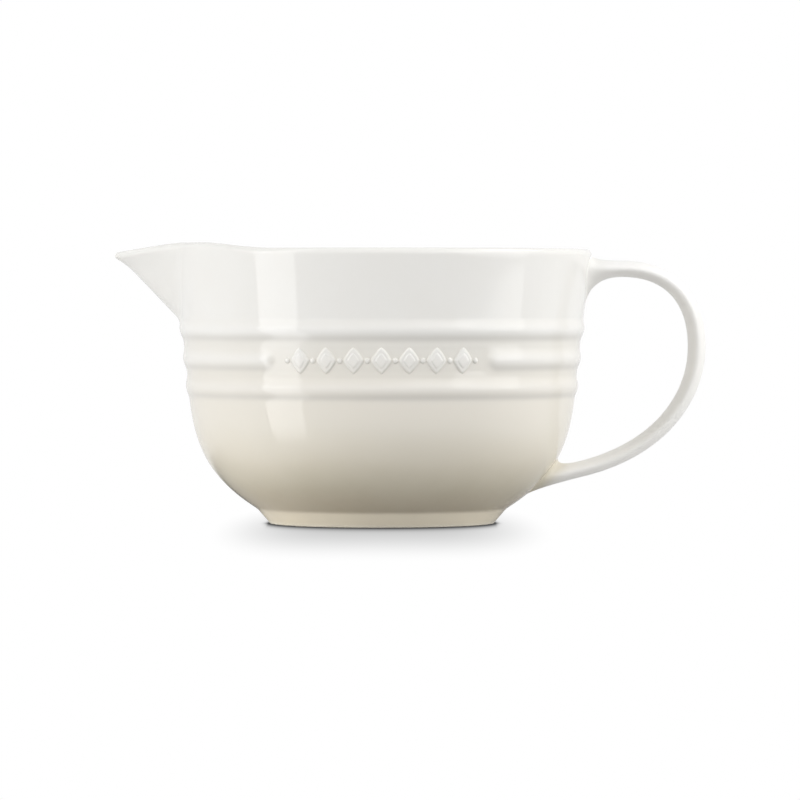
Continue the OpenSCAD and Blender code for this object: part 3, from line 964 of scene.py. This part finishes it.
def makeGlaze(name, gloss):
    board = Board(name)
    finish = glazeFinish

    def amount(attribute, share):
        return board.math("MULTIPLY", board.share(attribute), finish[share])

    height = board.node("ShaderNodeSeparateXYZ")
    board.link(board.objectSpace, height.inputs["Vector"])
    wander = board.noise(*finish["driftNoise"])
    drift = board.remap(wander, *finish["noiseRange"], -finish["drift"] / 2, finish["drift"] / 2)
    # darker towards the foot: partly the glaze's warm tone, partly painted shade
    toneAndShadeByHeight = board.ramp(board.math("ADD", height.outputs["Z"], drift), finish["fade"])
    aboveEdge = board.remap(height.outputs["Z"], 0, finish["footEdgeHeight"], smooth=True)
    # the foot's lower edge painted lighter: thin glaze and a painted highlight
    footGlazeAndHighlight = board.mix(aboveEdge, finish["footEdge"], finish["foot"])
    footAndShadedTone = board.mix(board.share("onFoot"), toneAndShadeByHeight, footGlazeAndHighlight)
    coloured = board.mix(board.share("outside"), finish["white"], footAndShadedTone)
    clouds = board.noise(*finish["cloudNoise"])
    cloud = board.remap(clouds, *finish["cloudRange"], 0, finish["cloudShare"])
    clouded = board.mix(cloud, coloured, finish["cloud"])
    hollowShaded = board.mix(amount("hollowShading", "hollowShadeShare"), clouded, finish["hollowShade"])
    thinnedAndLit = board.mix(amount("thinAndLit", "thinAndLitShare"), hollowShaded, finish["paleTone"])
    creaseShaded = board.mix(amount("creaseShade", "creaseShadeShare"), thinnedAndLit, finish["creaseShade"])
    board.link(creaseShaded, board.shader.inputs["Base Color"])
    sheen = board.noise(*finish["glossNoise"])
    board.link(board.remap(sheen, *finish["noiseRange"], *gloss), board.shader.inputs["Roughness"])
    peel = board.bump(board.noise(*finish["peelNoise"]), finish["peel"])
    fine = board.bump(board.noise(*finish["fineNoise"]), finish["peel"] * finish["fineShare"], under=peel)
    board.link(fine, board.shader.inputs["Normal"])
    board.shader.inputs["IOR"].default_value = finish["mirrorIndex"]
    return board.material


def makeClay():
    board = Board("bareClay")
    finish = clayFinish
    grain = board.noise(*finish["grainNoise"])
    blotch = board.remap(board.noise(*finish["blotchNoise"]), *finish["blotchRange"])
    base = board.mix(blotch, finish["pale"], finish["dark"])
    speckled = board.mix(board.remap(grain, *finish["speckRange"]), base, finish["speck"])
    board.link(speckled, board.shader.inputs["Base Color"])
    roughness = board.remap(grain, *finish["grainRange"], *finish["rough"])
    board.link(roughness, board.shader.inputs["Roughness"])
    board.link(board.bump(grain, finish["grain"]), board.shader.inputs["Normal"])
    return board.material


glossGlaze = makeGlaze("glossGlaze", glazeFinish["gloss"])
strapGlaze = makeGlaze("strapGlaze", glazeFinish["strapGloss"])
bareClay = makeClay()

for piece, material, slot, nodes in (
        (glazedBowl, glossGlaze, "white_glaze", ("bowl_body", "pouring_spout")),
        (bareFoot, bareClay, "bare_foot", ("foot_ring",)),
        (strapHandle, strapGlaze, "white_glaze", ("handle", "upper_handle_joint", "lower_handle_joint")),
        (lozengeBand, glossGlaze, "white_glaze", ("band_sprigs",))):
    piece.data.materials.clear()
    piece.data.materials.append(material)
    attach(piece, "root")
    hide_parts(*nodes)
print("pieces dressed")


# floor, light and camera, in metres

studio = {
    "distance": 2.392,             # of the camera from the bowl's axis
    "eyeHeight": 0.104,
    "centreX": 0.0083,
    "centreZ": 0.0567,
    "lens": 234,
    "sensor": 36,
    "farthestSeen": 30,
    "lampAim": 0.06,               # the lamps point at this height on the axis
    "floorSize": 9,
    "bounceLeft": (0.95, 0.98),    # white of the paper that lights the bowl, near it and farther out
    "bounceRight": (0.66, 0.74),
    "bounceFront": (0.53, 0.285),
    "bounceTurn": math.radians(18),   # its dim front lies this far to the right
    "nearTo": 0.075,
    "farFrom": 0.115,
    "shadowMiddle": -0.06,         # the soft shadow painted on the paper lies round here, a little in front
    "shadowAcross": 0.077,         # and reaches this far to each side
    "shadowAlong": 0.30,           # and this far to the front and the back
    "shadowSquareness": 4.0,       # 2 is an oval
    "shadowDepth": 0.385,
    "contactDepth": 0.88,          # of the painted dark contact shadow along the foot's front and back
    "contactReach": 0.023,
    "contactFall": 1.5,
    "contactBeside": 15.0,         # how much quicker it fades at the foot's sides
    "mirrorFrom": 0.115,           # past here the glaze mirrors the room through the paper
    "mirrorTo": 0.19,
    "room": [                      # brightness of the room from straight below to straight above
        (-1, 0.86), (-0.05, 0.86), (0.05, 0.90), (0.45, 0.90), (1, 0.32)],
}
lamps = {
    # azimuth from the camera (left is minus), height of the middle, distance, width, height, watts
    "stripLeft": (-59.5, 0.1, 1.3, 0.56, 3.4, 12.4),
    "farLeft": (-50, 0.32, 2.6, 2.2, 0.6, 2.5),
    "softRight": (64, 0.5, 1.4, 1.2, 1.5, 7.7),
    "lowRight": (80, 0.17, 1.2, 1.0, 0.3, 0.2),
    "tallRight": (92, 0.1, 1.5, 1.3, 3.4, 1.2),
    "topRight": (90, 1.5, 1.3, 1.5, 1.0, 7.4),
    "farRight": (35, 0.7, 2.2, 1.4, 1.0, 2.4),
    "lowFront": (0, 0.32, 2.6, 3.0, 0.6, 2.0),
}


def bounceBySide(board, distance):
    # how white the paper is for the bowl, by the direction from the bowl and the distance
    turned = board.node("ShaderNodeVectorRotate", rotation_type="Z_AXIS")
    board.link(board.objectSpace, turned.inputs["Vector"])
    board.link(-studio["bounceTurn"], turned.inputs["Angle"])
    flat = board.node("ShaderNodeVectorMath", operation="MULTIPLY")
    board.link(turned.outputs["Vector"], flat.inputs[0])
    board.link((1, 1, 0), flat.inputs[1])
    outward = board.node("ShaderNodeVectorMath", operation="NORMALIZE")
    board.link(flat.outputs["Vector"], outward.inputs[0])
    parts = board.node("ShaderNodeSeparateXYZ")
    board.link(outward.outputs["Vector"], parts.inputs["Vector"])
    total = 0.0
    sides = (("X", -1.0, "bounceLeft"), ("X", 1.0, "bounceRight"), ("Y", -1.0, "bounceFront"))
    for axis, sign, side in sides:
        towards = board.math("MAXIMUM", board.math("MULTIPLY", parts.outputs[axis], sign), 0.0)
        share = board.math("POWER", towards, 2.0)
        white = board.remap(distance, studio["nearTo"], studio["farFrom"], *studio[side])
        total = board.math("ADD", total, board.math("MULTIPLY", share, white))
    return total


def paintedFloorShadow(board):
    # the paper as the camera sees it: glowing white, with a painted wide soft shadow and a painted dark
    # line along the foot
    moved = board.node("ShaderNodeVectorMath", operation="SUBTRACT")
    board.link(board.objectSpace, moved.inputs[0])
    board.link((0, studio["shadowMiddle"], 0), moved.inputs[1])
    squeezed = board.node("ShaderNodeVectorMath", operation="DIVIDE")
    board.link(moved.outputs["Vector"], squeezed.inputs[0])
    board.link((studio["shadowAcross"], studio["shadowAlong"], 1), squeezed.inputs[1])
    parts = board.node("ShaderNodeSeparateXYZ")
    board.link(squeezed.outputs["Vector"], parts.inputs["Vector"])
    besideShare = board.math("ABSOLUTE", parts.outputs["X"], 0.0)
    besidePower = board.math("POWER", besideShare, studio["shadowSquareness"])
    alongPower = board.math("POWER", board.math("ABSOLUTE", parts.outputs["Y"], 0.0), 2.0)
    away = board.math("SQRT", board.math("ADD", besidePower, alongPower), 0.0)
    wide = board.remap(away, 0, 1, studio["shadowDepth"], 0, smooth=True)
    place = board.node("ShaderNodeSeparateXYZ")
    board.link(board.objectSpace, place.inputs["Vector"])
    radius = footForm["tableRadius"]
    rest = board.math("SUBTRACT", radius ** 2, board.math("POWER", place.outputs["X"], 2.0))
    footEdge = board.math("SQRT", board.math("MAXIMUM", rest, 0.0), 0.0)
    ahead = board.math("SUBTRACT", board.math("ABSOLUTE", place.outputs["Y"], 0.0), footEdge)
    beside = board.math("SUBTRACT", board.math("ABSOLUTE", place.outputs["X"], 0.0), radius)
    besideGap = board.math("MULTIPLY", board.math("MAXIMUM", beside, 0.0), studio["contactBeside"])
    gap = board.math("ADD", board.math("MAXIMUM", ahead, 0.0), besideGap)
    fall = board.math("POWER", board.math("DIVIDE", gap, studio["contactReach"]), studio["contactFall"])
    fading = board.math("EXPONENT", board.math("MULTIPLY", fall, -1.0), 0.0)
    line = board.math("MULTIPLY", fading, studio["contactDepth"])
    return board.math("MULTIPLY", board.math("SUBTRACT", 1.0, wide), board.math("SUBTRACT", 1.0, line))


def addFloor():
    deselectAll()
    bpy.ops.mesh.primitive_plane_add(size=studio["floorSize"])
    floor = bpy.context.object
    floor.name = "paleFloor"
    board = Board("palePaper")
    away = board.node("ShaderNodeVectorMath", operation="LENGTH")
    board.link(board.objectSpace, away.inputs[0])
    distance = away.outputs["Value"]
    path = board.node("ShaderNodeLightPath")
    paper = board.node("ShaderNodeBsdfDiffuse")
    board.link(bounceBySide(board, distance), paper.inputs["Color"])
    # the paper glows for the camera, with the painted shadow as its colour
    paintedSeenPaper = board.node("ShaderNodeEmission")
    board.link(paintedFloorShadow(board), paintedSeenPaper.inputs["Color"])
    clear = board.node("ShaderNodeBsdfTransparent")
    toClear = board.remap(distance, studio["mirrorFrom"], studio["mirrorTo"], smooth=True)
    mirrored = board.math("MULTIPLY", toClear, path.outputs["Is Glossy Ray"])
    forBowl = board.layer(mirrored, paper.outputs["BSDF"], clear.outputs["BSDF"])
    board.finish(board.layer(path.outputs["Is Camera Ray"], forBowl, paintedSeenPaper.outputs["Emission"]))
    floor.data.materials.append(board.material)


def addLamps():
    target = Vector((0, 0, studio["lampAim"]))
    for name, (turn, height, distance, width, tall, watts) in lamps.items():
        angle = math.radians(turn)
        place = Vector((distance * math.sin(angle), -distance * math.cos(angle), height))
        bpy.ops.object.light_add(type="AREA", location=place)
        lamp = bpy.context.object
        lamp.name = name
        lamp.data.shape = "RECTANGLE"
        lamp.data.size = width
        lamp.data.size_y = tall
        lamp.data.energy = watts
        lamp.visible_camera = False
        lamp.rotation_euler = (target - place).to_track_quat("-Z", "Y").to_euler()


def addWorld():
    world = bpy.data.worlds.new("whiteRoom")
    bpy.context.scene.world = world
    world.use_nodes = True
    tree = world.node_tree
    room = tree.nodes["Background"]
    room.inputs["Color"].default_value = (1, 1, 1, 1)
    place = tree.nodes.new("ShaderNodeTexCoord")
    direction = tree.nodes.new("ShaderNodeSeparateXYZ")
    tree.links.new(place.outputs["Generated"], direction.inputs["Vector"])
    height = tree.nodes.new("ShaderNodeMapRange")
    height.inputs["From Min"].default_value = -1
    tree.links.new(direction.outputs["Z"], height.inputs["Value"])
    level = tree.nodes.new("ShaderNodeValToRGB")
    tree.links.new(height.outputs["Result"], level.inputs["Fac"])
    marks = level.color_ramp.elements
    for up, white in studio["room"][1:-1]:
        marks.new((up + 1) / 2)
    for mark, (up, white) in zip(marks, studio["room"]):
        mark.color = (white, white, white, 1)
    tree.links.new(level.outputs["Color"], room.inputs["Strength"])
    paper = tree.nodes.new("ShaderNodeBackground")
    paper.inputs["Color"].default_value = (1, 1, 1, 1)
    paper.inputs["Strength"].default_value = 1
    chooser = tree.nodes.new("ShaderNodeMixShader")
    path = tree.nodes.new("ShaderNodeLightPath")
    tree.links.new(path.outputs["Is Camera Ray"], chooser.inputs["Fac"])
    tree.links.new(room.outputs["Background"], chooser.inputs[1])
    tree.links.new(paper.outputs["Background"], chooser.inputs[2])
    tree.links.new(chooser.outputs["Shader"], tree.nodes["World Output"].inputs["Surface"])


def addCamera():
    place = Vector((studio["centreX"], -studio["distance"], studio["eyeHeight"]))
    aim = Vector((studio["centreX"], 0, studio["centreZ"]))
    bpy.ops.object.camera_add(location=place)
    camera = bpy.context.object
    camera.name = "productCamera"
    camera.data.lens = studio["lens"]
    camera.data.sensor_width = studio["sensor"]
    camera.data.clip_end = studio["farthestSeen"]
    camera.rotation_euler = (aim - place).to_track_quat("-Z", "Y").to_euler()
    bpy.context.scene.camera = camera


addFloor()
addLamps()
addWorld()
addCamera()
bpy.context.scene.view_settings.view_transform = "Standard"
print("studio ready")
